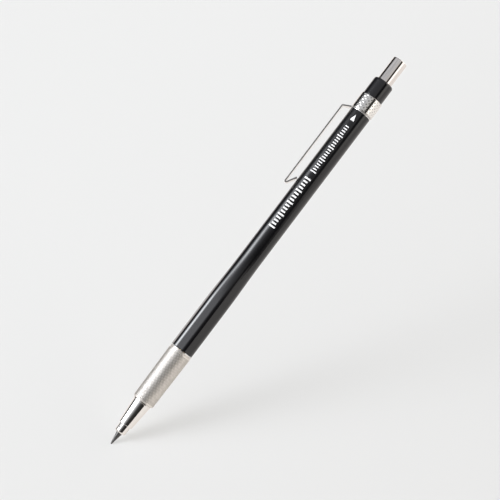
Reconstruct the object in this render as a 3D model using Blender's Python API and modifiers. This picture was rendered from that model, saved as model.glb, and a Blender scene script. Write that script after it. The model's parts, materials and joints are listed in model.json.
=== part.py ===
"""Clutch pencil (lead holder) for 2 mm leads, lying on its side with the clip touching the table.

Every piece is modelled about the pencil's own axis: local +z runs from the writing point to the push
button, and local +x points at the clip. The empty "pencil_axis" turns that frame into the world frame,
where +X runs towards the writing point and z = 0 is the table. Sizes below are in millimetres.
"""

import math

import bmesh
import bpy
from mathutils import Matrix, Vector

MM = 0.001
SIDES = 48  # facets round a turned piece
CLEAR = 0.05  # radial gap between fitted pieces
SHARP_ANGLE = math.radians(30)

# Driving dimensions: stations along the axis, measured from the writing point
LENGTH = 155.0
JAW_FRONT = 4.45
NOSE_FRONT = 7.6
GRIP_FRONT = 16.85
GRIP_REAR = 37.3
FACETS_END = 56.0  # the six flats are full up to here
ROUND_START = 76.0  # and have faded into a round section here
BARREL_REAR = 133.3
RING_FRONT = 133.75
RING_REAR = 139.6
CAP_FRONT = 139.67
CAP_REAR = 146.3
LEAD_LENGTH = 130.0
STROKE = 4.0  # travel of the push button

# Driving dimensions: radii
LEAD_R = 1.0
JAW_R = 1.88
NOSE_FRONT_R = 2.42
NOSE_REAR_R = 3.25
GRIP_FRONT_R = 3.75
GRIP_REAR_R = 4.0
BARREL_R = 3.64  # round part
FLAT_R = 3.83  # from the axis to a flat of the six-sided part
HARD_CORNER_R = 1.5  # rounding of every other corner
SOFT_CORNER_R = 2.7  # rounding of the corners between them
CORNER_TURN = math.radians(-15.5)  # from the clip to a hard corner
RING_R = 3.92
CAP_R = 3.56
BUTTON_R = 2.6
TUBE_R = 1.45
LEAD_WAY_R = 1.15  # bore that the lead runs through
CORE_BORE_R = 2.55  # bore of barrel and grip spigot round the inner tube

# Clutch, spring and their seats
JAW_COUNT = 3
JAW_SLOT = 0.35
JAW_GRIP_R = 1.03
JAW_NECK_R = 1.42
JAW_TAPER_END = 10.6
JAW_ROOT = 17.9
BASE_FRONT = 18.0
BASE_FLANGE = 20.0
BASE_REAR = 26.0
BASE_R = 1.85
SEAT_GAP = 0.08  # between the closed jaws and the taper of the nose
NOSE_REAR = 22.0
NOSE_SPIGOT_R = 2.9
SPRING_COLLAR_FRONT = 35.0
SPRING_COLLAR_LENGTH = 1.5
SPRING_COLLAR_R = 2.45
SPRING_MEAN_R = 2.2
SPRING_WIRE_R = 0.2
SPRING_TURNS = 8.5
SPRING_POINTS_PER_TURN = 14

# Joint between grip and barrel, and between barrel and end cap
GRIP_SPIGOT_R = 3.0
GRIP_SPIGOT_REAR = 46.0
CAP_SPIGOT_R = 3.1
CAP_SPIGOT_FRONT = 127.0
CAP_CORNER = 0.85
CAP_FLOOR = 139.2  # the pressed button stops here

# Push button with the lead pointer inside it
BUTTON_FRONT = 143.6
BUTTON_BORE_R = 2.2
BUTTON_END_WALL = 0.7
BUTTON_CHAMFER = 0.25
TUBE_REAR = 147.0
SNAP_FRONT = 144.0
SNAP_REAR = 146.8
POINTER_FRONT = 147.6
POINTER_REAR = 153.9
POINTER_CONE_END = 152.6
BLADE_COUNT = 3
BLADE_THICKNESS = 0.3
BLADE_SLOT = 0.4
BLADE_OUTER_R = 1.95

# Clip: a bent strip of spring steel on a washer
CLIP_THICKNESS = 0.44
CLIP_WIDTH = 3.2
CLIP_BEND_R = 0.35
CLIP_BEND_STEPS = 5
CLIP_ROOT = (3.7, 133.45)  # (radius, station) of the strip's middle line
CLIP_REAR_BEND = (6.4, 132.05)
CLIP_FRONT_FOLD = (6.4, 100.0)
CLIP_HOOK_END = (3.95, 104.3)
WASHER_FRONT = 133.35
WASHER_REAR = 133.7
WASHER_R = 3.6

# Lying on the table: the grip, the ring and the outer corner of the clip touch it
CLIP_OUTER = CLIP_FRONT_FOLD[0] + CLIP_THICKNESS / 2
CLIP_REACH = math.hypot(CLIP_OUTER, CLIP_WIDTH / 2)
CLIP_CORNER_ANGLE = math.atan2(CLIP_WIDTH / 2, CLIP_OUTER)
CLIP_DROP = math.asin(GRIP_REAR_R / CLIP_REACH) - CLIP_CORNER_ANGLE  # clip's angle below the horizontal
CLIP_SIDE = CLIP_REACH * math.cos(CLIP_DROP - CLIP_CORNER_ANGLE)
AXIS_Y = (CLIP_SIDE - GRIP_REAR_R) / 2
AXIS_Z = GRIP_REAR_R

BLACK_PLASTIC = ("black_plastic", (0.012, 0.012, 0.014), 0.0, 0.16)
SATIN_METAL = ("satin_metal", (0.62, 0.60, 0.57), 1.0, 0.38)
CHROME = ("chrome", (0.78, 0.77, 0.75), 1.0, 0.12)
SPRING_STEEL = ("spring_steel", (0.70, 0.70, 0.69), 1.0, 0.2)
BRASS = ("brass", (0.72, 0.55, 0.27), 1.0, 0.3)
GRAPHITE = ("graphite", (0.06, 0.06, 0.065), 0.3, 0.45)
TOOL_STEEL = ("tool_steel", (0.45, 0.45, 0.46), 1.0, 0.3)


def clear_scene():
    for obj in list(bpy.data.objects):
        bpy.data.objects.remove(obj)


def new_collection(name):
    collection = bpy.data.collections.new(name)
    bpy.context.scene.collection.children.link(collection)
    return collection


def make_material(name, colour, metallic, roughness):
    found = bpy.data.materials.get(name)
    if found:
        return found
    material = bpy.data.materials.new(name)
    material.use_nodes = True
    shader = material.node_tree.nodes["Principled BSDF"]
    shader.inputs["Base Color"].default_value = (*colour, 1.0)
    shader.inputs["Metallic"].default_value = metallic
    shader.inputs["Roughness"].default_value = roughness
    return material


def make_pencil_axis():
    """The empty that carries the pencil's own frame, lying on the table."""
    drop_cos = math.cos(CLIP_DROP)
    drop_sin = math.sin(CLIP_DROP)
    towards_clip = Vector((0, -drop_cos, -drop_sin))
    across_clip = Vector((0, -drop_sin, drop_cos))
    towards_button = Vector((-1, 0, 0))
    turn = Matrix((towards_clip, across_clip, towards_button)).transposed().to_4x4()
    place = Matrix.Translation(Vector((LENGTH / 2, AXIS_Y, AXIS_Z)) * MM)
    empty = bpy.data.objects.new("pencil_axis", None)
    PIECES.objects.link(empty)
    empty.matrix_world = place @ turn
    return empty


def add_hinge(name, place):
    """An empty on a joint's axis, at a place given in the pencil's own frame."""
    empty = bpy.data.objects.new(name, None)
    PIECES.objects.link(empty)
    empty.parent = PENCIL_AXIS
    empty.location = Vector(place) * MM
    return empty


def add_piece(name, data, finish, hinge=None):
    """A named piece, drawn in the pencil's own frame. A hinged piece hangs on its hinge's empty."""
    obj = bpy.data.objects.new(name, data)
    PIECES.objects.link(obj)
    obj.parent = hinge or PENCIL_AXIS
    if hinge:
        obj.location = -hinge.location
    data.materials.append(make_material(*finish))
    return obj


def add_cutter(name, mesh, angle):
    """A cutter turned about the pencil's axis by the given angle."""
    obj = bpy.data.objects.new(name, mesh)
    CUTTERS.objects.link(obj)
    obj.parent = PENCIL_AXIS
    obj.rotation_euler = (0, 0, angle)
    obj.hide_render = True
    obj.display_type = "WIRE"
    return obj


def turned(name, finish, outer, inner=None, hinge=None):
    """A solid of revolution about the pencil's axis.

    outer and inner list (radius, station) from the button end to the point. Without inner, the outline
    starts and ends on the axis.
    """
    outline = list(outer)
    if inner:
        outline += list(reversed(inner))
    points = [(radius * MM, 0.0, station * MM) for radius, station in outline]
    edges = [(i, i + 1) for i in range(len(points) - 1)]
    if inner:
        edges.append((len(points) - 1, 0))
    mesh = bpy.data.meshes.new(name)
    mesh.from_pydata(points, edges, [])
    obj = add_piece(name, mesh, finish, hinge)
    screw = obj.modifiers.new("turn", "SCREW")
    screw.steps = SIDES
    screw.render_steps = SIDES
    screw.use_merge_vertices = True
    screw.merge_threshold = 0.00001
    return obj


def cut(obj, cutter, operation="DIFFERENCE"):
    boolean = obj.modifiers.new(cutter.name, "BOOLEAN")
    boolean.operation = operation
    boolean.object = cutter
    return boolean


def prism_mesh(name, outline, low, high):
    """A flat outline of (x, y) points pushed along local z from low to high."""
    mesh = bpy.data.meshes.new(name)
    shape = bmesh.new()
    base = shape.faces.new([shape.verts.new((x * MM, y * MM, low * MM)) for x, y in outline])
    raised = bmesh.ops.extrude_face_region(shape, geom=[base])["geom"]
    moved = [v for v in raised if isinstance(v, bmesh.types.BMVert)]
    bmesh.ops.translate(shape, vec=(0, 0, (high - low) * MM), verts=moved)
    bmesh.ops.recalc_face_normals(shape, faces=shape.faces)
    shape.to_mesh(mesh)
    shape.free()
    return mesh


def shade_round(obj):
    """Applies a piece's modifiers and shades it smooth, except over its sharp edges."""
    graph = bpy.context.evaluated_depsgraph_get()
    mesh = bpy.data.meshes.new_from_object(obj.evaluated_get(graph))
    mesh.name = obj.data.name
    obj.modifiers.clear()
    obj.data = mesh
    mesh.shade_smooth()
    mesh.set_sharp_from_angle(angle=SHARP_ANGLE)


def smoothstep(value):
    value = min(1.0, max(0.0, value))
    return value * value * (3 - 2 * value)


def rounded_hexagon_radius(angle):
    """Distance from the axis to the six-sided section at an angle from the clip."""
    sector = math.pi / 3
    turned_by = (angle - CORNER_TURN + sector / 2) % (2 * sector)  # hard corner at half a sector
    corner_r = HARD_CORNER_R if turned_by < sector else SOFT_CORNER_R
    off = abs(turned_by % sector - sector / 2)  # from the nearest corner
    centre = (FLAT_R - corner_r) / math.cos(sector / 2)
    flat_half = math.atan((FLAT_R - corner_r) * math.tan(sector / 2) / FLAT_R)
    if sector / 2 - off <= flat_half:
        return FLAT_R / math.cos(sector / 2 - off)
    return centre * math.cos(off) + math.sqrt(corner_r**2 - (centre * math.sin(off)) ** 2)


def barrel_radius(angle, station):
    """Outer radius of the barrel, six-sided at the grip and round towards the button."""
    fade = smoothstep((station - FACETS_END) / (ROUND_START - FACETS_END))
    return BARREL_R + (rounded_hexagon_radius(angle) - BARREL_R) * (1 - fade)


def make_barrel():
    """A loft from a rounded hexagon to a circle, with a stepped bore through it."""
    sides = 72
    edge = 0.15  # softened outer edges at both ends
    fade_steps = 8
    fade_span = (ROUND_START - FACETS_END) / fade_steps
    outer = [(GRIP_REAR + 0.1, edge), (GRIP_REAR + 0.1 + edge, 0.0), (FACETS_END, 0.0)]
    outer += [(FACETS_END + fade_span * (i + 1), 0.0) for i in range(fade_steps)]
    outer += [(BARREL_REAR - edge, 0.0), (BARREL_REAR, edge)]
    grip_socket_r = GRIP_SPIGOT_R + CLEAR
    cap_socket_r = CAP_SPIGOT_R + CLEAR
    grip_socket_end = GRIP_SPIGOT_REAR + 0.3
    cap_socket_end = CAP_SPIGOT_FRONT - 0.5
    bore = [
        (BARREL_REAR, cap_socket_r),
        (cap_socket_end, cap_socket_r),
        (cap_socket_end, CORE_BORE_R),
        (grip_socket_end, CORE_BORE_R),
        (grip_socket_end, grip_socket_r),
        (GRIP_REAR + 0.1, grip_socket_r),
    ]
    shape = bmesh.new()
    angles = [2 * math.pi * i / sides for i in range(sides)]

    def ring(radius_at, station):
        points = [(radius_at(a) * math.cos(a), radius_at(a) * math.sin(a)) for a in angles]
        return [shape.verts.new((x * MM, y * MM, station * MM)) for x, y in points]

    rings = [ring(lambda a, s=s, e=e: barrel_radius(a, s) - e, s) for s, e in outer]
    rings += [ring(lambda a, r=r: r, s) for s, r in bore]
    for here, there in zip(rings, rings[1:] + rings[:1]):
        for i in range(sides):
            j = (i + 1) % sides
            shape.faces.new((here[i], here[j], there[j], there[i]))
    bmesh.ops.recalc_face_normals(shape, faces=shape.faces)
    mesh = bpy.data.meshes.new("barrel")
    shape.to_mesh(mesh)
    shape.free()
    return add_piece("barrel", mesh, BLACK_PLASTIC)


def make_grip():
    chamfer = 0.35
    flange = 0.8
    relief = 0.12  # shallow neck between the knurl and the rear flange
    knurl_rear = GRIP_REAR - flange
    nose_bore_r = NOSE_SPIGOT_R + CLEAR
    bore_step = 36.0
    outer = [
        (GRIP_SPIGOT_R, GRIP_SPIGOT_REAR),
        (GRIP_SPIGOT_R, GRIP_REAR),
        (GRIP_REAR_R - relief, GRIP_REAR),
        (GRIP_REAR_R, GRIP_REAR - relief),
        (GRIP_REAR_R, knurl_rear + relief),
        (GRIP_REAR_R - relief, knurl_rear),
        (GRIP_FRONT_R, GRIP_FRONT + chamfer),
        (GRIP_FRONT_R - chamfer, GRIP_FRONT),
    ]
    inner = [
        (CORE_BORE_R, GRIP_SPIGOT_REAR),
        (CORE_BORE_R, bore_step),
        (nose_bore_r, bore_step),
        (nose_bore_r, GRIP_FRONT),
    ]
    return turned("grip_sleeve", SATIN_METAL, outer, inner)


def make_nose():
    """Polished nose with the tapered seat that closes the jaws."""
    lip = 0.15
    seat_front_r = JAW_R + SEAT_GAP
    seat_rear_r = 1.62
    base_way_r = 2.0
    seat_rear = JAW_TAPER_END + 0.1
    base_way_front = 15.5
    shoulder = GRIP_FRONT - 0.08
    outer = [
        (NOSE_SPIGOT_R, NOSE_REAR),
        (NOSE_SPIGOT_R, shoulder),
        (NOSE_REAR_R, shoulder),
        (NOSE_FRONT_R, NOSE_FRONT + lip),
        (NOSE_FRONT_R - lip, NOSE_FRONT),
    ]
    inner = [
        (base_way_r, NOSE_REAR),
        (base_way_r, base_way_front),
        (seat_rear_r, base_way_front),
        (seat_rear_r, seat_rear),
        (seat_front_r, NOSE_FRONT + lip),
        (seat_front_r + CLEAR, NOSE_FRONT),
    ]
    return turned("nose_cone", CHROME, outer, inner)


def make_jaws():
    """Three jaws of the clutch, each hinged where its finger joins the base."""
    nose_steps = 5
    nose_radius = 0.6
    grip_rear = 8.5
    grip_step = 0.3  # length of the step behind the gripping bore
    neck_step = 0.6  # length of the slope down to the neck
    taper_drop = 0.33  # how far the head narrows towards its taper's end
    mouth = 0.15  # flat ring at the front of each jaw's bore
    pivot_r = (JAW_NECK_R + LEAD_WAY_R) / 2
    arc = [math.pi / 2 * i / nose_steps for i in range(nose_steps + 1)]
    rounded = [
        (JAW_R - nose_radius * (1 - math.cos(a)), JAW_FRONT + nose_radius * (1 - math.sin(a)))
        for a in arc
    ]
    outer = [(JAW_NECK_R, JAW_ROOT), (JAW_NECK_R, JAW_TAPER_END + neck_step)]
    outer += [(JAW_R - taper_drop, JAW_TAPER_END)]
    outer += [(JAW_R, NOSE_FRONT), *rounded]
    inner = [
        (LEAD_WAY_R, JAW_ROOT),
        (LEAD_WAY_R, grip_rear + grip_step),
        (JAW_GRIP_R, grip_rear),
        (JAW_GRIP_R, JAW_FRONT + mouth),
    ]
    half_share = math.pi / JAW_COUNT
    apex = JAW_SLOT / 2 / math.sin(half_share)
    reach = 6.0
    sector = [(apex, 0.0)]
    sector += [(apex + reach * math.cos(a), reach * math.sin(a)) for a in (-half_share, half_share)]
    for number in range(JAW_COUNT):
        angle = 2 * math.pi * number / JAW_COUNT
        name = f"jaw_{number + 1}"
        place = (pivot_r * math.cos(angle), pivot_r * math.sin(angle), BASE_FRONT)
        jaw = turned(name, CHROME, outer, inner, add_hinge(f"{name}_hinge", place))
        cutter = prism_mesh(f"{name}_sector", sector, JAW_FRONT - 1, JAW_ROOT + 1)
        cut(jaw, add_cutter(f"{name}_sector", cutter, angle), "INTERSECT")


def make_clutch_base():
    """Ring that carries the jaws and the front end of the inner tube."""
    socket_front = 22.3
    outer = [
        (BASE_R, BASE_REAR),
        (BASE_R, BASE_FLANGE),
        (JAW_NECK_R, BASE_FLANGE - 0.2),
        (JAW_NECK_R, BASE_FRONT),
    ]
    inner = [
        (TUBE_R + CLEAR, BASE_REAR),
        (TUBE_R + CLEAR, socket_front),
        (LEAD_WAY_R, socket_front),
        (LEAD_WAY_R, BASE_FRONT),
    ]
    turned("clutch_base", BRASS, outer, inner)


def plain_ring(name, finish, bore_r, outer_r, front, rear, edge=0.1):
    outer = [
        (outer_r - edge, rear),
        (outer_r, rear - edge),
        (outer_r, front + edge),
        (outer_r - edge, front),
    ]
    return turned(name, finish, outer, [(bore_r, rear), (bore_r, front)])


def make_inner_tube():
    tube_front = 22.4
    plain_ring("lead_tube", BRASS, LEAD_WAY_R, TUBE_R, tube_front, TUBE_REAR, 0.05)
    collar_rear = SPRING_COLLAR_FRONT + SPRING_COLLAR_LENGTH
    plain_ring("spring_collar", BRASS, TUBE_R + CLEAR, SPRING_COLLAR_R, SPRING_COLLAR_FRONT, collar_rear)
    snap_r = BUTTON_BORE_R - CLEAR
    plain_ring("snap_collar", BRASS, TUBE_R + CLEAR, snap_r, SNAP_FRONT, SNAP_REAR)


def make_spring():
    """Compression spring between the nose and the collar on the tube."""
    gap = 0.05
    first = NOSE_REAR + gap + SPRING_WIRE_R
    last = SPRING_COLLAR_FRONT - gap - SPRING_WIRE_R
    count = int(SPRING_TURNS * SPRING_POINTS_PER_TURN)
    curve = bpy.data.curves.new("clutch_spring", "CURVE")
    curve.dimensions = "3D"
    curve.bevel_depth = SPRING_WIRE_R * MM
    curve.bevel_resolution = 2
    curve.use_fill_caps = True
    spline = curve.splines.new("POLY")
    spline.points.add(count)
    for i, point in enumerate(spline.points):
        share = i / count
        turn = 2 * math.pi * SPRING_TURNS * share
        station = first + (last - first) * share
        x = SPRING_MEAN_R * math.cos(turn)
        y = SPRING_MEAN_R * math.sin(turn)
        point.co = (x * MM, y * MM, station * MM, 1.0)
    add_piece("clutch_spring", curve, SPRING_STEEL)


def make_lead():
    point_r = 0.12
    cone_length = 4.4
    chamfer = 0.1
    outline = [
        (0.0, LEAD_LENGTH),
        (LEAD_R - chamfer, LEAD_LENGTH),
        (LEAD_R, LEAD_LENGTH - chamfer),
        (LEAD_R, cone_length),
        (point_r, 0.0),
        (0.0, 0.0),
    ]
    turned("lead", GRAPHITE, outline)


def make_end_cap():
    """Black end cap, whose spigot screws into the barrel and holds the clip's washer and the ring."""
    steps = 5
    arc = [math.pi / 2 * i / steps for i in range(steps + 1)]
    outer = [
        (CAP_R - CAP_CORNER * (1 - math.sin(a)), CAP_REAR - CAP_CORNER * (1 - math.cos(a))) for a in arc
    ]
    outer += [(CAP_R, CAP_FRONT), (CAP_SPIGOT_R, CAP_FRONT), (CAP_SPIGOT_R, CAP_SPIGOT_FRONT)]
    button_way_r = BUTTON_R + 0.08
    tube_way_r = TUBE_R + 0.1
    inner = [
        (button_way_r, CAP_REAR),
        (button_way_r, CAP_FLOOR),
        (tube_way_r, CAP_FLOOR),
        (tube_way_r, CAP_SPIGOT_FRONT),
    ]
    turned("end_cap", BLACK_PLASTIC, outer, inner)


def make_ring_and_washer():
    bore_r = CAP_SPIGOT_R + 0.08
    plain_ring("grade_ring", SATIN_METAL, bore_r, RING_R, RING_FRONT, RING_REAR, 0.2)
    plain_ring("clip_washer", SPRING_STEEL, bore_r, WASHER_R, WASHER_FRONT, WASHER_REAR, 0.05)


def make_button():
    end = LENGTH - BUTTON_END_WALL
    outline = [
        (0.0, LENGTH),
        (BUTTON_R - BUTTON_CHAMFER, LENGTH),
        (BUTTON_R, LENGTH - BUTTON_CHAMFER),
        (BUTTON_R, BUTTON_FRONT + 0.1),
        (BUTTON_R - 0.1, BUTTON_FRONT),
        (BUTTON_BORE_R, BUTTON_FRONT),
        (BUTTON_BORE_R, end),
        (0.0, end),
    ]
    turned("push_button", CHROME, outline)


def make_pointer():
    """Lead pointer in the button: a holder with a conical hole and three blades in its slots."""
    holder_r = BUTTON_BORE_R - CLEAR
    outline = [
        (0.0, POINTER_REAR),
        (holder_r, POINTER_REAR),
        (holder_r, POINTER_FRONT),
        (1.75, POINTER_FRONT),
        (0.55, POINTER_CONE_END),
        (0.0, POINTER_CONE_END),
    ]
    holder = turned("pointer_holder", BRASS, outline)
    slot_depth = BLADE_OUTER_R + CLEAR
    slot_rear = POINTER_CONE_END + 0.4
    blade_front = POINTER_FRONT + 0.2
    blade_rear = slot_rear - 0.1
    blade_side = [
        (BLADE_OUTER_R, blade_front),
        (BLADE_OUTER_R, blade_rear),
        (0.35, blade_rear),
        (0.25, blade_rear - 0.6),
        (1.3, blade_front),
    ]
    half = BLADE_SLOT / 2
    slot_outline = [(0.0, -half), (slot_depth, -half), (slot_depth, half), (0.0, half)]
    for number in range(BLADE_COUNT):
        angle = 2 * math.pi * number / BLADE_COUNT
        name = f"pointer_blade_{number + 1}"
        slot = prism_mesh(f"{name}_slot", slot_outline, POINTER_FRONT - 1, slot_rear)
        cut(holder, add_cutter(f"{name}_slot", slot, angle))
        # The blade's side view is drawn flat, then stood up along the pencil's axis.
        mesh = prism_mesh(name, blade_side, -BLADE_THICKNESS / 2, BLADE_THICKNESS / 2)
        mesh.transform(Matrix.Rotation(math.pi / 2, 4, "X"))
        blade = add_piece(name, mesh, TOOL_STEEL)
        blade.rotation_euler = (0, 0, angle)


def rounded_path(corners, radius, steps):
    """The line through the corners, with an arc of the given radius at each inner one."""
    points = [Vector(corners[0])]
    for before, corner, after in zip(corners, corners[1:], corners[2:]):
        corner = Vector(corner)
        back = (Vector(before) - corner).normalized()
        on = (Vector(after) - corner).normalized()
        half_angle = back.angle(on) / 2
        inward = (back + on).normalized()
        centre = corner + inward * (radius / math.sin(half_angle))
        start = corner + back * (radius / math.tan(half_angle)) - centre
        end = corner + on * (radius / math.tan(half_angle)) - centre
        sweep = start.angle_signed(end)
        for i in range(steps + 1):
            points.append(centre + Matrix.Rotation(-sweep * i / steps, 2) @ start)
    points.append(Vector(corners[-1]))
    return points


def make_clip():
    """Spring-steel strip with a folded hook, hinged where it leaves its washer."""
    corners = [CLIP_ROOT, CLIP_REAR_BEND, CLIP_FRONT_FOLD, CLIP_HOOK_END]
    path = rounded_path(corners, CLIP_BEND_R, CLIP_BEND_STEPS)
    half = CLIP_WIDTH / 2
    points = [(place.x * MM, side * MM, place.y * MM) for place in path for side in (-half, half)]
    faces = [(2 * i, 2 * i + 1, 2 * i + 3, 2 * i + 2) for i in range(len(path) - 1)]
    mesh = bpy.data.meshes.new("clip_arm")
    mesh.from_pydata(points, [], faces)
    hinge = add_hinge("clip_hinge", (CLIP_ROOT[0], 0.0, CLIP_ROOT[1]))
    arm = add_piece("clip_arm", mesh, SPRING_STEEL, hinge)
    thicken = arm.modifiers.new("thickness", "SOLIDIFY")
    thicken.thickness = CLIP_THICKNESS * MM
    thicken.offset = 0.0
    thicken.use_even_offset = True


clear_scene()
PIECES = new_collection("clutch_pencil")
CUTTERS = new_collection("cutters")
PENCIL_AXIS = make_pencil_axis()

make_barrel()
make_grip()
make_nose()
make_jaws()
make_clutch_base()
make_inner_tube()
make_spring()
make_lead()
make_end_cap()
make_ring_and_washer()
make_button()
make_pointer()
make_clip()

bpy.context.view_layer.update()
for piece in PIECES.objects:
    if piece.type == "MESH":
        shade_round(piece)
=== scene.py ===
"""Looks of a clutch pencil for 2 mm leads.

Pieces are drawn in the pencil's own frame, in millimetres: local +z runs from the writing point to the push
button, local +x points at the clip, and a station is a distance from the writing point. PENCIL turns that
frame into the row frame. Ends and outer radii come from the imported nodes' boxes. The sizes that the boxes
don't show are named values.
"""

import json
import math

import bmesh
import bpy
from mathutils import Matrix, Vector


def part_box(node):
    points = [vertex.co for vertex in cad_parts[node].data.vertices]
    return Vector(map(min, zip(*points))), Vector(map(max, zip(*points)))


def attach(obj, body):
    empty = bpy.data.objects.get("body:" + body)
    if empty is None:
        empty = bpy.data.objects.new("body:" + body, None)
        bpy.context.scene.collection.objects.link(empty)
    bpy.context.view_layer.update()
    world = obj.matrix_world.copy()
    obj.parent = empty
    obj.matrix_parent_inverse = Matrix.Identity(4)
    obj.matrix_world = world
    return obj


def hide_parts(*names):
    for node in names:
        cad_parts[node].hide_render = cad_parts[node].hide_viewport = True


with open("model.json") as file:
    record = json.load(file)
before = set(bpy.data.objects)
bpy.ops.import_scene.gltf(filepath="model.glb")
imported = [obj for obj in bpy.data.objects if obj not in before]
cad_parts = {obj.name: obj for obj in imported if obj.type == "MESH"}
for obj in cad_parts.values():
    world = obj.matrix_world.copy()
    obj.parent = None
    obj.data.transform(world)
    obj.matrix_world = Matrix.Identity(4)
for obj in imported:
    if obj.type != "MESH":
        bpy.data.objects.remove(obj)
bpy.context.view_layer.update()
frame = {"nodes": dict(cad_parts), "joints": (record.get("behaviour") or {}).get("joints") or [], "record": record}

MM = 0.001
SHARP = math.radians(32)
ROUND_SIDES = 144

RECORD = frame["record"]
BODY_OF = {n: body for body, nodes in RECORD["behaviour"]["bodies"].items() for n in nodes}
SLOT_OF = {row["node"]: row["material_slot"] for row in RECORD["subparts"]}

# ---------------------------------------------------------------- the pencil's own frame
LEAD_LOW, LEAD_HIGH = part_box("lead")
TIP = Vector((LEAD_HIGH.x, (LEAD_LOW.y + LEAD_HIGH.y) / 2, (LEAD_LOW.z + LEAD_HIGH.z) / 2))
FLEX = next(joint for joint in frame["joints"] if joint["name"] == "clip_flex")
TO_BUTTON = Vector((-1, 0, 0))
TO_CLIP = TO_BUTTON.cross(Vector(FLEX["axis"])).normalized()
ACROSS = TO_BUTTON.cross(TO_CLIP)
PENCIL_AXES = Matrix((TO_CLIP, ACROSS, TO_BUTTON)).transposed()
PENCIL = Matrix.Translation(TIP) @ PENCIL_AXES.to_4x4() @ Matrix.Scale(MM, 4)


def front(node):
    """Station of a node's end nearest the writing point."""
    return (TIP.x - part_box(node)[1].x) / MM


def rear(node):
    """Station of a node's end nearest the button."""
    return (TIP.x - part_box(node)[0].x) / MM


def radius(node):
    low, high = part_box(node)
    return (high.z - low.z) / 2 / MM


def in_pencil(point):
    """A point of the row frame in the pencil's own frame."""
    return PENCIL.inverted() @ Vector(point)


# ---------------------------------------------------------------- node trees
def add_node(tree, kind, inputs=None, **settings):
    """A node with its settings, and its inputs given as values or as sockets to link."""
    made = tree.nodes.new(kind)
    for name, value in settings.items():
        setattr(made, name, value)
    for key, value in (inputs or {}).items():
        if isinstance(value, bpy.types.NodeSocket):
            tree.links.new(value, made.inputs[key])
        else:
            made.inputs[key].default_value = value
    return made


def calc(tree, operation, *values, clamp=False):
    """The output of a Math node."""
    inputs = dict(enumerate(values))
    return add_node(tree, "ShaderNodeMath", inputs, operation=operation, use_clamp=clamp).outputs[0]


def bell(tree, value, centre, width, power):
    """exp(-|(value - centre) / width| ** power), a smooth bump of height 1."""
    offset = calc(tree, "ABSOLUTE", calc(tree, "SUBTRACT", value, centre))
    raised = calc(tree, "POWER", calc(tree, "DIVIDE", offset, width), power)
    return calc(tree, "EXPONENT", calc(tree, "MULTIPLY", raised, -1.0))


def rise(tree, value, low, high):
    """A smooth step from 0 at low to 1 at high."""
    inputs = {"Value": value, "From Min": low, "From Max": high}
    return add_node(tree, "ShaderNodeMapRange", inputs, interpolation_type="SMOOTHSTEP").outputs[0]


def between(tree, value, low, high):
    """A 0 to 1 value spread over a range."""
    return add_node(tree, "ShaderNodeMapRange", {"Value": value, "To Min": low, "To Max": high}).outputs[0]


def noise(tree, scale, stretch=(1, 1, 1), detail=2.0, roughness=0.5):
    """Noise over the piece. scale is in features a metre, and stretch multiplies it along X, Y and Z."""
    place = add_node(tree, "ShaderNodeTexCoord").outputs["Object"]
    stretched = add_node(tree, "ShaderNodeMapping", {"Vector": place, "Scale": stretch}).outputs[0]
    inputs = {"Vector": stretched, "Scale": scale, "Detail": detail, "Roughness": roughness}
    return add_node(tree, "ShaderNodeTexNoise", inputs).outputs[0]


def mix_colour(tree, share, first, second):
    """A blend of two colours, each given as three numbers or as a socket."""
    first, second = [c if isinstance(c, bpy.types.NodeSocket) else (*c, 1.0) for c in (first, second)]
    inputs = {"Factor": share, "A": first, "B": second}
    made = add_node(tree, "ShaderNodeMix", data_type="RGBA")
    sockets = [s for s in made.inputs if s.enabled]
    for socket in sockets:
        value = inputs[socket.name.split("_")[0]]
        if isinstance(value, bpy.types.NodeSocket):
            tree.links.new(value, socket)
        else:
            socket.default_value = value
    return next(s for s in made.outputs if s.enabled)


def new_material(name, **constants):
    """A material with a Principled shader, whose constant inputs are given by name."""
    material = bpy.data.materials.new(name)
    material.use_nodes = True
    tree = material.node_tree
    shader = tree.nodes["Principled BSDF"]
    for key, value in constants.items():
        shader.inputs[key.replace("_", " ")].default_value = value
    return material, tree, shader


def bump(tree, shader, height, distance):
    """Relief of the given depth in metres."""
    made = add_node(tree, "ShaderNodeBump", {"Height": height, "Distance": distance, "Strength": 1.0})
    tree.links.new(made.outputs[0], shader.inputs["Normal"])


def paint(tree, shader, share, first, second):
    """The base colour as a blend of two colours."""
    tree.links.new(mix_colour(tree, share, first, second), shader.inputs["Base Color"])


# ---------------------------------------------------------------- materials
def gloss_black():
    """Injection-moulded black plastic, with the faint waviness and haze of a moulded surface."""
    material, tree, shader = new_material("gloss_black", Metallic=0.0, IOR=1.5)
    paint(tree, shader, noise(tree, 260.0), (0.0045, 0.0045, 0.0055), (0.0075, 0.0072, 0.0078))
    haze = noise(tree, 1400.0, detail=3.0)
    tree.links.new(between(tree, haze, 0.07, 0.15), shader.inputs["Roughness"])
    wave = noise(tree, 420.0, stretch=(0.35, 1, 1))
    bump(tree, shader, wave, 0.000004)
    return material


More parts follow.
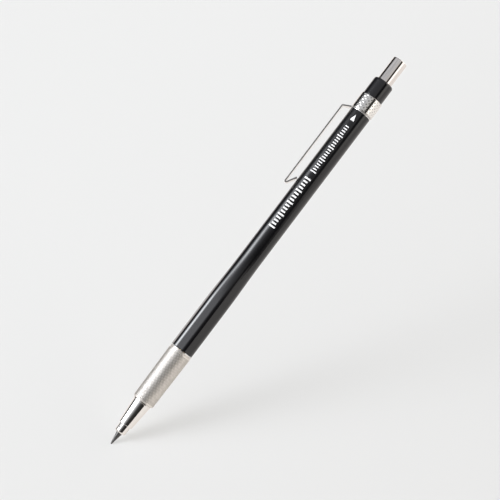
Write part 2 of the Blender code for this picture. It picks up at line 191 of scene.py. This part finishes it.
def relief_metal(name, valley_shade, peak, low_roughness, high_roughness, brushed=0.0):
    """Nickel-plated knurled metal, with painted shade darkening its valleys, from the mesh's relief attribute.

    brushed stretches its highlights along the pencil.
    """
    grime_share = 0.35
    material, tree, shader = new_material(name, Metallic=1.0)
    relief = add_node(tree, "ShaderNodeAttribute", attribute_name="relief").outputs["Fac"]
    grime = noise(tree, 900.0, detail=3.0)
    smudge = calc(tree, "MULTIPLY", calc(tree, "SUBTRACT", grime, 0.5), grime_share)
    share = calc(tree, "ADD", relief, smudge, clamp=True)
    # the valley colour is painted shade, laid on where the relief attribute is low
    paint(tree, shader, share, valley_shade, peak)
    tree.links.new(between(tree, share, high_roughness, low_roughness), shader.inputs["Roughness"])
    around = add_node(tree, "ShaderNodeTangent", direction_type="RADIAL", axis="X").outputs[0]
    tree.links.new(around, shader.inputs["Tangent"])
    shader.inputs["Anisotropic"].default_value = brushed
    shader.inputs["Anisotropic Rotation"].default_value = 0.25
    bump(tree, shader, noise(tree, 9000.0), 0.000004)
    return material


def chrome():
    """Polished plate with the fine rings that turning leaves."""
    material, tree, shader = new_material("chrome", Metallic=1.0)
    rings = noise(tree, 2600.0, stretch=(6, 0.05, 0.05), detail=3.0)
    paint(tree, shader, rings, (0.70, 0.68, 0.655), (0.78, 0.76, 0.735))
    tree.links.new(between(tree, noise(tree, 700.0), 0.05, 0.10), shader.inputs["Roughness"])
    bump(tree, shader, rings, 0.0000004)
    return material


def satin_nickel():
    """Brighter than steel and less than chrome, with fine lengthwise polishing marks."""
    material, tree, shader = new_material("satin_nickel", Metallic=1.0)
    marks = noise(tree, 2400.0, stretch=(0.05, 1, 1), detail=3.0)
    paint(tree, shader, marks, (0.52, 0.49, 0.47), (0.88, 0.84, 0.81))
    tree.links.new(between(tree, marks, 0.04, 0.09), shader.inputs["Roughness"])
    bump(tree, shader, marks, 0.0000006)
    return material


def drawn_steel():
    """Bright spring steel with streaks along the strip."""
    material, tree, shader = new_material("drawn_steel", Metallic=1.0)
    streaks = noise(tree, 5000.0, stretch=(0.03, 1, 1), detail=3.0)
    paint(tree, shader, streaks, (0.66, 0.65, 0.64), (0.80, 0.79, 0.78))
    tree.links.new(between(tree, streaks, 0.24, 0.38), shader.inputs["Roughness"])
    bump(tree, shader, streaks, 0.000001)
    return material


def sheared_steel():
    """The narrow edges of the strip, duller than its rolled faces and darkened by painted shade."""
    material, tree, shader = new_material("sheared_steel", Metallic=1.0)
    grain = noise(tree, 6000.0, stretch=(0.2, 1, 1), detail=3.0)
    # the dark base colour is painted shade on the strip's edges
    paint(tree, shader, grain, (0.17, 0.165, 0.16), (0.25, 0.245, 0.24))
    tree.links.new(between(tree, grain, 0.3, 0.5), shader.inputs["Roughness"])
    bump(tree, shader, grain, 0.000002)
    return material


def turned_brass():
    material, tree, shader = new_material("turned_brass", Metallic=1.0)
    rings = noise(tree, 3000.0, stretch=(5, 0.05, 0.05), detail=3.0)
    paint(tree, shader, rings, (0.55, 0.39, 0.16), (0.72, 0.55, 0.27))
    tree.links.new(between(tree, rings, 0.2, 0.34), shader.inputs["Roughness"])
    bump(tree, shader, rings, 0.000001)
    return material


def graphite():
    """Ground graphite lead: dark, with a metallic sheen and grinding marks along the cone."""
    material, tree, shader = new_material("graphite", Metallic=0.55, IOR=1.9)
    grain = noise(tree, 7000.0, stretch=(0.25, 1, 1), detail=4.0, roughness=0.6)
    paint(tree, shader, grain, (0.035, 0.034, 0.033), (0.085, 0.081, 0.078))
    tree.links.new(between(tree, grain, 0.28, 0.5), shader.inputs["Roughness"])
    bump(tree, shader, grain, 0.000006)
    return material


def ground_steel():
    material, tree, shader = new_material("ground_steel", Metallic=1.0)
    marks = noise(tree, 12000.0, stretch=(1, 0.1, 1), detail=3.0)
    paint(tree, shader, marks, (0.38, 0.38, 0.39), (0.52, 0.52, 0.53))
    tree.links.new(between(tree, marks, 0.22, 0.38), shader.inputs["Roughness"])
    bump(tree, shader, marks, 0.000002)
    return material


def white_ink():
    """Pad-printed ink, slightly thin in places, with a faint painted glow that brightens it."""
    material, tree, shader = new_material(
        # the emission is painted light, a faint glow that brightens the ink
        "white_ink", Metallic=0.0, IOR=1.45, Emission_Color=(1, 1, 1, 1), Emission_Strength=0.1
    )
    cover = noise(tree, 3000.0, detail=4.0)
    paint(tree, shader, cover, (0.80, 0.80, 0.79), (0.93, 0.93, 0.92))
    tree.links.new(between(tree, cover, 0.3, 0.5), shader.inputs["Roughness"])
    bump(tree, shader, cover, 0.000003)
    return material


MATERIALS = {
    "black_plastic": gloss_black(),
    "polished_metal": chrome(),
    "spring_steel": drawn_steel(),
    "brass": turned_brass(),
    "graphite": graphite(),
    "tool_steel": ground_steel(),
}
GRIP_METAL = relief_metal(
    "satin_knurl",
    # painted shade in the grip's knurl valleys
    valley_shade=(0.40, 0.38, 0.35),
    peak=(0.86, 0.83, 0.79),
    low_roughness=0.56,
    high_roughness=0.68,
    brushed=0.76,
)
RING_METAL = relief_metal(
    "bright_knurl",
    # painted shade in the ring's pits
    valley_shade=(0.12, 0.115, 0.105),
    peak=(0.74, 0.725, 0.70),
    low_roughness=0.035,
    high_roughness=0.4,
)
BUTTON_METAL = satin_nickel()
CLIP_EDGE_SHADED_METAL = sheared_steel()
WHITE_INK_PAINTED_GLOW = white_ink()


# ---------------------------------------------------------------- bores and hidden sizes, as in the CAD
LEAD_WAY_R = 1.15  # bore that the lead runs through
LEAD_GRIP_R = 1.03  # the closed jaws round the lead
TUBE_WAY_R = 1.55  # hole in the end cap that the tube runs through
NOSE_BORE_R = 2.0
NOSE_SPIGOT_R = 2.9
GRIP_BORE_R = 2.95
CAP_SOCKET_R = 3.1
RING_BORE_R = 3.2
JAW_NECK_R = 1.42
JAW_HEAD_R = 1.88
JAW_SLOT = 0.35
JAW_TAPER_END = 10.6
BUTTON_BORE_R = 2.2
BUTTON_END_WALL = 0.7
COLLAR_GAP = 0.05  # between the tube and its collars
CLIP_WIDTH = 3.2
CLIP_THICKNESS = 0.44
CLIP_BEND_R = 0.35
CLIP_REAR_BEND = (6.4, 132.05)  # (radius, station) of the strip's middle line
CLIP_FRONT_FOLD = (6.4, 100.0)
CLIP_HOOK_END = (3.95, 104.3)


# ---------------------------------------------------------------- mesh tools
def arc(centre, size, start, end, steps=6):
    """Points on an arc about (radius, station) centre, from one angle to another in degrees."""
    angles = [math.radians(start + (end - start) * i / steps) for i in range(steps + 1)]
    return [(centre[0] + size * math.cos(a), centre[1] + size * math.sin(a)) for a in angles]


def ring_of(shape, points, sides):
    """One ring of vertices. points(angle) gives the radius and the station at an angle from the clip."""
    made = []
    for i in range(sides):
        angle = 2 * math.pi * i / sides
        size, station = points(angle)
        made.append(shape.verts.new((size * math.cos(angle), size * math.sin(angle), station)))
    return made


def join_rings(shape, here, there):
    """Faces between two rings. A ring of one vertex is a point on the axis."""
    count = max(len(here), len(there))
    for i in range(count):
        j = (i + 1) % count
        if len(here) == 1:
            shape.faces.new((here[0], there[j], there[i]))
        elif len(there) == 1:
            shape.faces.new((here[i], here[j], there[0]))
        else:
            shape.faces.new((here[i], here[j], there[j], there[i]))


def object_of(name, shape, material):
    """An object in the row frame from a bmesh drawn in the pencil's frame."""
    bmesh.ops.recalc_face_normals(shape, faces=shape.faces)
    mesh = bpy.data.meshes.new(name)
    shape.to_mesh(mesh)
    shape.free()
    mesh.transform(PENCIL)
    mesh.shade_smooth()
    mesh.set_sharp_from_angle(angle=SHARP)
    mesh.materials.append(material)
    obj = bpy.data.objects.new(name, mesh)
    bpy.context.scene.collection.objects.link(obj)
    return obj


def stand_for(obj, node):
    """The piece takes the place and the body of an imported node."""
    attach(obj, BODY_OF[node])
    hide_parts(node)
    return obj


def with_supports(outline, hollow):
    """The outline with points near both ends of its long stretches, which keep smooth shading flat."""
    reach, long = 0.04, 0.5
    following = outline[1:] + (outline[:1] if hollow else [])
    made = []
    for here, there in zip(outline, following):
        made.append(here)
        span = math.dist(here, there)
        if span > long:
            for share in (reach / span, 1 - reach / span):
                made.append(tuple(a + (b - a) * share for a, b in zip(here, there)))
    return made if hollow else [*made, outline[-1]]


def turned(name, node, outline, material=None, hollow=True):
    """A turned piece that stands for a node. outline lists (radius, station), and hollow closes it."""
    shape = bmesh.new()
    rings = []
    for size, station in with_supports(outline, hollow):
        if size == 0:
            rings.append([shape.verts.new((0, 0, station))])
        else:
            rings.append(ring_of(shape, lambda a, p=(size, station): p, ROUND_SIDES))
    pairs = list(zip(rings, rings[1:]))
    if hollow:
        pairs.append((rings[-1], rings[0]))
    for here, there in pairs:
        join_rings(shape, here, there)
    return stand_for(object_of(name, shape, material or MATERIALS[SLOT_OF[node]]), node)


# ---------------------------------------------------------------- barrel
FACETS_END = 56.0
ROUND_START = 76.0
FLAT_R = 3.83
HARD_CORNER_R = 1.5
SOFT_CORNER_R = 2.7
CORNER_TURN = math.radians(-15.5)  # from the clip to a hard corner
BARREL_R = 3.64


def smoothstep(value):
    value = min(1.0, max(0.0, value))
    return value * value * (3 - 2 * value)


def hexagon_radius(angle):
    """Distance from the axis to the six-sided section, whose corners are hard and soft by turns."""
    sector = math.pi / 3
    turned_by = (angle - CORNER_TURN + sector / 2) % (2 * sector)
    corner_r = HARD_CORNER_R if turned_by < sector else SOFT_CORNER_R
    off = abs(turned_by % sector - sector / 2)
    centre = (FLAT_R - corner_r) / math.cos(sector / 2)
    flat_half = math.atan((FLAT_R - corner_r) * math.tan(sector / 2) / FLAT_R)
    if sector / 2 - off <= flat_half:
        return FLAT_R / math.cos(sector / 2 - off)
    return centre * math.cos(off) + math.sqrt(corner_r**2 - (centre * math.sin(off)) ** 2)


def barrel_radius(angle, station):
    fade = smoothstep((station - FACETS_END) / (ROUND_START - FACETS_END))
    return BARREL_R + (hexagon_radius(angle) - BARREL_R) * (1 - fade)


def make_barrel():
    """Barrel lofted from a soft hexagon to a circle, with rounded ends and its bore."""
    sides = 240
    edge = 0.16
    edge_steps = 5
    support = 0.05  # keeps smooth shading flat next to the rounded ends
    fade_steps = 24
    start, end = front("barrel"), rear("barrel")
    turn = [math.pi / 2 * i / edge_steps for i in range(edge_steps + 1)]
    outer = [(start + edge * (1 - math.sin(a)), edge * (1 - math.cos(a))) for a in reversed(turn)]
    fade = (ROUND_START - FACETS_END) / fade_steps
    outer += [(FACETS_END + fade * i, 0.0) for i in range(fade_steps + 1)]
    outer += [(end - edge * (1 - math.sin(a)), edge * (1 - math.cos(a))) for a in turn]
    outer += [(start + edge + support, 0.0), (end - edge - support, 0.0)]
    shape = bmesh.new()
    rings = [
        ring_of(shape, lambda a, s=station, c=cut: (barrel_radius(a, s) - c, s), sides)
        for station, cut in sorted(outer)
    ]
    rings += [ring_of(shape, lambda a, s=station: (CAP_SOCKET_R, s), sides) for station in (end, start)]
    for here, there in zip(rings, rings[1:] + rings[:1]):
        join_rings(shape, here, there)
    stand_for(object_of("barrel_shell", shape, MATERIALS["black_plastic"]), "barrel")


# ---------------------------------------------------------------- print on the barrel
PRINT_TURN = math.radians(79.5)  # from the clip to the middle line of the print
PRINT_RISE = 0.012
PRINT_ROWS = 8


def printed_mark(shape, low, high, near, far):
    """A mark on the round barrel between two heights around it. near and far give its ends at a height."""
    grid = []
    for i in range(PRINT_ROWS + 1):
        height = low + (high - low) * i / PRINT_ROWS
        angle = PRINT_TURN + height / BARREL_R
        ends = (near(height), far(height))
        across, up = math.cos(angle), math.sin(angle)
        corners = [(size, end) for size in (BARREL_R - PRINT_RISE, BARREL_R + PRINT_RISE) for end in ends]
        grid.append([shape.verts.new((size * across, size * up, end)) for size, end in corners])
    for here, there in zip(grid, grid[1:]):
        for a, b in ((0, 1), (1, 3), (3, 2), (2, 0)):
            shape.faces.new((here[a], here[b], there[b], there[a]))
    for row in (grid[0], grid[-1]):
        shape.faces.new((row[0], row[1], row[3], row[2]))


def printed_scale(shape, start, pitch, count, width, short, tall, every):
    """A row of ticks like a rule's, centred on the print's middle line."""
    for i in range(count):
        half = (tall if i % every == 0 else short) / 2
        at = start + pitch * i
        printed_mark(shape, -half, half, lambda h, s=at: s, lambda h, s=at: s + width)


def make_print():
    """White print: two plain scales, and the arrow that points at the grade ring."""
    shape = bmesh.new()
    printed_scale(shape, start=86.3, pitch=1.2, count=17, width=0.55, short=1.6, tall=2.35, every=4)
    printed_scale(shape, start=108.5, pitch=0.96, count=20, width=0.4, short=1.35, tall=2.1, every=5)
    arrow_start, arrow_length, arrow_half, blunt = 129.4, 2.35, 0.74, 0.05
    printed_mark(
        shape,
        -arrow_half,
        arrow_half,
        lambda h: arrow_start,
        lambda h: arrow_start + blunt + arrow_length * (1 - abs(h) / arrow_half),
    )
    obj = object_of("barrel_print", shape, WHITE_INK_PAINTED_GLOW)
    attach(obj, "body")


# ---------------------------------------------------------------- knurled pieces
def knurl_height(angle, station, starts, pitch, flat, meet):
    """0 in the valleys and 1 on the lands. flat cuts the peaks off.

    meet=min leaves crossing grooves, and meet=max only the pits where they would cross.
    """
    turn = starts * angle / (2 * math.pi)
    heights = []
    for value in (turn + station / pitch, turn - station / pitch):
        heights.append(1 - abs(2 * (value % 1.0) - 1))
    return min(1.0, meet(heights) * flat)


def knurled(
    name, node, material, size_at, ends, bore, starts, pitch, depth, flat, detail, margins, meet=min
):
    """A sleeve with a knurl between two plain margins. ends are outlines (radius, station) at each end."""
    plain_relief = 0.75
    sides = starts * detail
    low, high = ends[0][-1][1] + margins[0], ends[1][0][1] - margins[1]
    rows = round((high - low) / pitch * detail)
    shape = bmesh.new()
    heights = []

    def plain(size, station):
        heights.extend([plain_relief] * sides)
        return ring_of(shape, lambda a: (size, station), sides)

    rings = [plain(*point) for point in ends[0]]
    for row in range(rows + 1):
        station = low + (high - low) * row / rows
        level = [1.0] * sides
        if 0 < row < rows:
            along = row * pitch / detail
            turns = [2 * math.pi * i / sides for i in range(sides)]
            level = [knurl_height(turn, along, starts, pitch, flat, meet) for turn in turns]
        made = []
        for i, height in enumerate(level):
            angle = 2 * math.pi * i / sides
            size = size_at(station) - depth * (1 - height)
            made.append(shape.verts.new((size * math.cos(angle), size * math.sin(angle), station)))
        heights.extend(level)
        rings.append(made)
    rings += [plain(*point) for point in ends[1]]
    rings += [plain(bore, ends[1][-1][1]), plain(bore, ends[0][0][1])]
    first_row, last_row = len(ends[0]), len(ends[0]) + rows
    for number, (here, there) in enumerate(zip(rings, rings[1:] + rings[:1])):
        if not first_row <= number < last_row:
            join_rings(shape, here, there)
            continue
        above, below = heights[number * sides :], heights[(number + 1) * sides :]
        for i in range(sides):
            j = (i + 1) % sides
            if above[i] + below[j] < above[j] + below[i]:
                shape.faces.new((here[i], here[j], there[j]))
                shape.faces.new((here[i], there[j], there[i]))
            else:
                shape.faces.new((here[i], here[j], there[i]))
                shape.faces.new((here[j], there[j], there[i]))
    obj = object_of(name, shape, material)
    # the relief attribute also sets where the material paints shade into the valleys
    relief = obj.data.attributes.new("relief", "FLOAT", "POINT")
    relief.data.foreach_set("value", heights)
    return stand_for(obj, node)


def make_grip():
    """Grip sleeve: a slightly tapered fine knurl, a bevelled front and a plain bead at the barrel."""
    start = front("grip_sleeve")
    end = front("barrel") - 0.1
    front_r, rear_r = 3.75, radius("grip_sleeve")
    bevel, corner = 0.4, 0.12

    def size_at(station):
        return front_r + (rear_r - front_r) * (station - start) / (end - start)

    bead = 0.28
    bead_r = rear_r - 0.02
    neck_r = rear_r - 0.17
    neck_end = end - 2 * bead - 0.02
    neck_start = neck_end - 0.28
    nose = [(front_r - bevel, start), *arc((front_r - corner, start + bevel), corner, -45, 0, 3)]
    tail = [
        (bead_r, neck_start - 0.12),
        (neck_r, neck_start),
        (neck_r, neck_end),
        *arc((bead_r - bead, end - bead), bead, -75, 85, 8),
    ]
    knurled(
        "grip_knurl", "grip_sleeve", GRIP_METAL, size_at, (nose, tail), GRIP_BORE_R,
        starts=36, pitch=0.71, depth=0.05, flat=1.5, detail=6, margins=(0.12, 0.1),
    )


def make_grade_ring():
    """Ring turned to show the lead's grade: rows of pressed pits between two plain rims."""
    start, end, size = front("grade_ring"), rear("grade_ring"), radius("grade_ring")
    rim = 0.2
    nose = [(size - rim, start), *arc((size - rim, start + rim), rim, -70, 0, 4)]
    tail = [*arc((size - rim, end - rim), rim, 0, 70, 4), (size - rim, end)]
    knurled(
        "grade_ring_knurl", "grade_ring", RING_METAL, lambda s: size, (nose, tail), RING_BORE_R,
        starts=18, pitch=1.35, depth=0.03, flat=2.1, detail=14, margins=(0.3, 0.3), meet=max,
    )


# ---------------------------------------------------------------- turned pieces
def make_nose():
    """Polished cone with a rounded lip round the jaws and a small step at the grip."""
    start = front("nose_cone")
    end = front("grip_sleeve") - 0.05
    front_r, base_r = 2.42, 3.25
    lip, step, band, edge = 0.14, 0.12, 0.5, 0.1
    outline = [
        (NOSE_BORE_R, start + 0.6),
        (NOSE_BORE_R, start + lip),
        *arc((front_r - lip, start + lip), lip, -100, -5, 8),
        (base_r - step, end - band),
        *arc((base_r - step, end - band + step), step, -20, 0, 3),
        (base_r - 0.02, end - edge),
        (base_r - edge, end),
        (NOSE_SPIGOT_R, end),
        (NOSE_SPIGOT_R, rear("nose_cone")),
        (NOSE_BORE_R, rear("nose_cone")),
    ]
    turned("nose_polished", "nose_cone", outline)


def make_lead():
    """Lead with a ground point, slightly worn at the very tip."""
    size, end = radius("lead"), rear("lead")
    cone, worn, missing, edge = 4.4, 0.24, 0.015, 0.1
    outline = [(0, missing), *arc((0, missing + worn), worn, -70, -12, 5)]
    outline += [(size * 0.985, cone - 0.07), (size, cone + edge)]
    outline += [(size, end - edge), (size - edge, end), (0, end)]
    turned("lead_stick", "lead", outline, hollow=False)


def make_end_cap():
    """Rounded cap with the pocket that the pressed button sinks into."""
    size, end, start = radius("end_cap"), rear("end_cap"), rear("grade_ring") + 0.07
    corner, edge, pocket = 0.85, 0.08, 7.1
    way = radius("push_button") + 0.08
    outline = [
        (way, end - pocket),
        (way, end - 0.02),
        *arc((size - corner, end - corner), corner, 88, 0, 10),
        *arc((size - edge, start + edge), edge, 0, -90, 4),
        (CAP_SOCKET_R, start),
        (CAP_SOCKET_R, front("end_cap")),
        (TUBE_WAY_R, front("end_cap")),
        (TUBE_WAY_R, end - pocket),
    ]
    turned("end_cap_shell", "end_cap", outline)


def make_button():
    """Nickel-plated push button, closed at its end, with a rounded rim and a faint dished face."""
    size, end, start = radius("push_button"), rear("push_button"), front("push_button")
    corner, dish, edge = 0.3, 0.05, 0.1
    outline = [
        (0, end - dish),
        (size - corner - 0.35, end - dish),
        (size - corner - 0.15, end),
        *arc((size - corner, end - corner), corner, 90, 0, 8),
        (size, start + edge),
        (size - edge, start),
        (BUTTON_BORE_R, start),
        (BUTTON_BORE_R, end - BUTTON_END_WALL),
        (0, end - BUTTON_END_WALL),
    ]
    turned("button_cap", "push_button", outline, BUTTON_METAL, hollow=False)


def make_tube_and_collars():
    """Inner tube, the collars on it that hold the spring and the button, and the clip's washer."""
    collar_bore = radius("lead_tube") + COLLAR_GAP
    for name, node, hole in (
        ("tube", "lead_tube", LEAD_WAY_R),
        ("spring_stop", "spring_collar", collar_bore),
        ("button_seat", "snap_collar", collar_bore),
        ("washer", "clip_washer", RING_BORE_R),
    ):
        start, end, size = front(node), rear(node), radius(node)
        edge = min(0.12, (end - start) / 4)
        outline = [
            (hole, start),
            *arc((size - edge, start + edge), edge, -90, 0, 4),
            *arc((size - edge, end - edge), edge, 0, 90, 4),
            (hole, end),
        ]
        turned(f"{name}_turned", node, outline)


def make_jaws():
    """The collet's three jaws: polished heads with parallel slots between them."""
    start, root = front("jaw_1"), rear("jaw_1")
    nose, taper = 0.6, JAW_TAPER_END
    curve = [math.radians(a) for a in range(0, 91, 9)]
    outline = [
        (LEAD_WAY_R, root),
        (JAW_NECK_R, root),
        (JAW_NECK_R, taper + 0.6),
        (JAW_HEAD_R - 0.33, taper),
        (JAW_HEAD_R, front("nose_cone")),
        *[(JAW_HEAD_R - nose * (1 - math.cos(a)), start + nose - nose * math.sin(a)) for a in curve],
        (LEAD_GRIP_R, start + 0.12),
        (LEAD_GRIP_R, 8.5),
        (LEAD_WAY_R, 8.8),
    ]
    columns = 40
    for number in range(3):
        middle = 2 * math.pi * number / 3
        shape = bmesh.new()
        rows = []
        for size, station in outline:
            half = math.pi / 3 - math.asin(JAW_SLOT / 2 / size)
            angles = [middle + half * (2 * i / columns - 1) for i in range(columns + 1)]
            points = [(size * math.cos(a), size * math.sin(a), station) for a in angles]
            rows.append([shape.verts.new(point) for point in points])
        for here, there in zip(rows, rows[1:] + rows[:1]):
            for i in range(columns):
                shape.faces.new((here[i], here[i + 1], there[i + 1], there[i]))
        for side in (0, columns):
            shape.faces.new([row[side] for row in rows])
        node = f"jaw_{number + 1}"
        stand_for(object_of(f"{node}_polished", shape, MATERIALS["polished_metal"]), node)


# ---------------------------------------------------------------- clip
def make_clip():
    """Bent strip with rounded edges, folded back into a hook at its front."""
    edge, bend_steps = 0.07, 10
    root = in_pencil(FLEX["pos_m"])
    corners = [Vector((root.x, root.z))]
    corners += [Vector(corner) for corner in (CLIP_REAR_BEND, CLIP_FRONT_FOLD, CLIP_HOOK_END)]
    path = [corners[0]]
    for before, corner, after in zip(corners, corners[1:], corners[2:]):
        back, on = (before - corner).normalized(), (after - corner).normalized()
        half = back.angle(on) / 2
        centre = corner + (back + on).normalized() * (CLIP_BEND_R / math.sin(half))
        start = corner + back * (CLIP_BEND_R / math.tan(half)) - centre
        end = corner + on * (CLIP_BEND_R / math.tan(half)) - centre
        sweep = start.angle_signed(end)
        for i in range(bend_steps + 1):
            path.append(centre + Matrix.Rotation(-sweep * i / bend_steps, 2) @ start)
    path.append(corners[-1])

    section = []
    for across, up, begin in ((1, 1, 0), (-1, 1, 90), (-1, -1, 180), (1, -1, 270)):
        middle = (across * (CLIP_WIDTH / 2 - edge), up * (CLIP_THICKNESS / 2 - edge))
        section += arc(middle, edge, begin, begin + 90, 4)
    shape = bmesh.new()
    rows = []
    for i, place in enumerate(path):
        back = (place - path[i - 1]).normalized() if i else None
        on = (path[i + 1] - place).normalized() if i + 1 < len(path) else None
        normals = [Vector((-v.y, v.x)) for v in (back, on) if v is not None]
        normal = sum(normals, Vector((0, 0))).normalized()
        normal = normal / normal.dot(normals[0])
        spots = [(place + normal * up, across) for across, up in section]
        rows.append([shape.verts.new((spot.x, across, spot.y)) for spot, across in spots])
    for here, there in zip(rows, rows[1:]):
        join_rings(shape, here, there)
    for row in (rows[0], rows[-1]):
        shape.faces.new(row)
    strip = stand_for(object_of("clip_strip", shape, MATERIALS["spring_steel"]), "clip_arm")
    # the strip's narrow edges get the steel with painted shade
    strip.data.materials.append(CLIP_EDGE_SHADED_METAL)
    sideways = 0.8
    for face in strip.data.polygons:
        face.material_index = int(abs(face.normal.dot(ACROSS)) > sideways)


# ---------------------------------------------------------------- camera and light
VIEW_LEAN = math.radians(52.87)  # the pencil's rise in the picture
VIEW_TILT = math.radians(3.6)  # the button is further from the camera than the point
CLIP_TURN = math.radians(96)  # from the line of sight to the clip
VIEW_DISTANCE = 612.5
VIEW_STATION = 76.45  # the middle of the picture
VIEW_SIDE = 1.96  # its distance from the axis, on the clip's side
LENS_PER_SENSOR = 3.8
FLOOR_VIEW = math.radians(52)  # from the line of sight to the floor's upright
FLOOR_REACH = 1.6  # metres from its middle to an edge
FLOOR_GLOW = 0.572
FLOOR_GLOW_FADE = (-0.12, 0.2)  # metres to the lower right of the picture
FLOOR_MIRRORED = (1.40, 1.31, 1.24)  # the floor's own light as the pencil reflects it
BACKDROP = (0.845, 0.84, 0.83, 1.0)

SIGHT = (ACROSS * math.sin(CLIP_TURN) + TO_CLIP * math.cos(CLIP_TURN)).normalized()
SIDE = SIGHT.cross(TO_BUTTON)


def camera_axes():
    """The camera's right, up and back directions in the row frame, as the columns of a matrix."""
    flat = math.cos(VIEW_TILT)
    along = Vector((flat * math.cos(VIEW_LEAN), flat * math.sin(VIEW_LEAN), -math.sin(VIEW_TILT)))
    back = Vector((0, 0, 1))
    sight = (back - along * back.dot(along)).normalized()
    seen = Matrix((along, sight.cross(along), sight))
    real = Matrix((TO_BUTTON, SIDE, SIGHT))
    return real.transposed() @ seen


def make_camera():
    axes = camera_axes()
    target = PENCIL @ Vector((0, 0, VIEW_STATION)) + SIDE * VIEW_SIDE * MM
    data = bpy.data.cameras.new("camera")
    data.sensor_width = 36.0
    data.lens = data.sensor_width * LENS_PER_SENSOR
    data.clip_start = 0.01
    data.clip_end = 20.0
    camera = bpy.data.objects.new("camera", data)
    place = Matrix.Translation(target + axes @ Vector((0, 0, VIEW_DISTANCE)) * MM)
    camera.matrix_world = place @ axes.to_4x4()
    bpy.context.scene.collection.objects.link(camera)
    bpy.context.scene.camera = camera


def floor_material(axes):
    """Pale matt surface with light of its own, seen through from below."""
    material, tree, shader = new_material(
        "floor", Roughness=0.9, Specular_IOR_Level=0.1, Emission_Strength=FLOOR_GLOW
    )
    paint(tree, shader, noise(tree, 3.0), (0.23, 0.23, 0.228), (0.24, 0.24, 0.238))
    place = add_node(tree, "ShaderNodeNewGeometry").outputs["Position"]
    inputs = {0: place, 1: tuple(axes @ Vector((1, -1, 0)).normalized())}
    across = add_node(tree, "ShaderNodeVectorMath", inputs, operation="DOT_PRODUCT").outputs["Value"]
    glow = mix_colour(tree, rise(tree, across, *FLOOR_GLOW_FADE), (1.0, 1.0, 0.985), (0.9, 0.89, 0.87))
    mirrored = add_node(tree, "ShaderNodeLightPath").outputs["Is Glossy Ray"]
    tree.links.new(mix_colour(tree, mirrored, glow, FLOOR_MIRRORED), shader.inputs["Emission Color"])
    below = add_node(tree, "ShaderNodeNewGeometry").outputs["Backfacing"]
    clear = add_node(tree, "ShaderNodeBsdfTransparent").outputs[0]
    sided = add_node(tree, "ShaderNodeMixShader", {0: below, 1: shader.outputs[0], 2: clear}).outputs[0]
    tree.links.new(sided, tree.nodes["Material Output"].inputs["Surface"])
    return material


def make_floor():
    """Floor that the writing point touches."""
    axes = camera_axes()
    upright = axes @ Vector((0, math.sin(FLOOR_VIEW), math.cos(FLOOR_VIEW)))
    shape = bmesh.new()
    bmesh.ops.create_grid(shape, x_segments=8, y_segments=8, size=FLOOR_REACH)
    mesh = bpy.data.meshes.new("floor")
    shape.to_mesh(mesh)
    shape.free()
    mesh.materials.append(floor_material(axes))
    floor = bpy.data.objects.new("floor", mesh)
    turn = upright.to_track_quat("Z", "Y").to_matrix().to_4x4()
    floor.matrix_world = Matrix.Translation(TIP) @ turn
    bpy.context.scene.collection.objects.link(floor)


def rise_between(tree, turn, low, high):
    """A smooth step between two turns in degrees."""
    return rise(tree, turn, math.radians(low), math.radians(high))


def without(tree, value, taken):
    """value where taken is 0, fading to 0 where it is 1."""
    return calc(tree, "MULTIPLY", value, calc(tree, "SUBTRACT", 1.0, taken))


def dome_lights(tree, turn, rearward):
    """The dome's lights, each as its shape and its strength.

    turn goes round the pencil from the line of sight, away from the clip, and rearward is the share of a
    direction that points to the button.
    """
    softbox_turn = bell(tree, turn, math.radians(-67), 0.25, 2.0)
    softbox = calc(tree, "MULTIPLY", softbox_turn, bell(tree, rearward, -0.12, 0.225, 9.0))
    brighter_front = without(tree, softbox, rise(tree, rearward, 0.03, 0.065))
    behind = rise(tree, rearward, 0.06, 0.17)
    glow = without(tree, bell(tree, turn, math.radians(-45), 0.45, 2.0), behind)
    left_side = without(tree, rise_between(tree, turn, -102, -80), rise_between(tree, turn, 10, 18))
    left = calc(tree, "MULTIPLY", behind, left_side)
    right = calc(tree, "MULTIPLY", behind, rise_between(tree, turn, 34, 44))
    grazing = rise_between(tree, calc(tree, "ABSOLUTE", turn), 140, 160)
    return (
        (softbox, 13.5),
        (brighter_front, 7.5),
        (glow, 1.0),
        (left, 0.62),
        (right, 1.8),
        (grazing, 0.13),
    )


def make_light():
    """Studio light as a dome: a softbox beside the pencil, and weaker light from the button's end."""
    world = bpy.data.worlds.new("studio")
    bpy.context.scene.world = world
    world.use_nodes = True
    tree = world.node_tree
    tree.nodes.clear()
    direction = add_node(tree, "ShaderNodeTexCoord").outputs["Generated"]

    def along(axis):
        inputs = {0: direction, 1: tuple(axis)}
        return add_node(tree, "ShaderNodeVectorMath", inputs, operation="DOT_PRODUCT").outputs["Value"]

    turn = calc(tree, "ARCTAN2", along(-SIDE), along(SIGHT))
    total = 0.03
    for light, strength in dome_lights(tree, turn, along(TO_BUTTON)):
        total = calc(tree, "ADD", calc(tree, "MULTIPLY", light, strength), total)
    tint = mix_colour(tree, rise_between(tree, turn, -30, 30), (0.965, 0.985, 1.03), (1.04, 1.0, 0.95))
    dome = add_node(tree, "ShaderNodeBackground", {"Color": tint, "Strength": total})
    plain = add_node(tree, "ShaderNodeBackground", {"Color": BACKDROP, "Strength": 1.0})
    seen = add_node(tree, "ShaderNodeLightPath").outputs["Is Camera Ray"]
    inputs = {0: seen, 1: dome.outputs[0], 2: plain.outputs[0]}
    both = add_node(tree, "ShaderNodeMixShader", inputs).outputs[0]
    add_node(tree, "ShaderNodeOutputWorld", {"Surface": both})


# ---------------------------------------------------------------- inner pieces that keep their CAD shape
CARRIED_OVER = (
    "clutch_base",
    "clutch_spring",
    "pointer_holder",
    "pointer_blade_1",
    "pointer_blade_2",
    "pointer_blade_3",
)


def repaint(node):
    materials = frame["nodes"][node].data.materials
    materials.clear()
    materials.append(MATERIALS[SLOT_OF[node]])


make_barrel()
make_print()
make_grip()
make_grade_ring()
make_nose()
make_lead()
make_end_cap()
make_button()
make_tube_and_collars()
make_jaws()
make_clip()
for node_name in CARRIED_OVER:
    repaint(node_name)

make_camera()
make_floor()
make_light()
bpy.context.scene.view_settings.view_transform = "Standard"
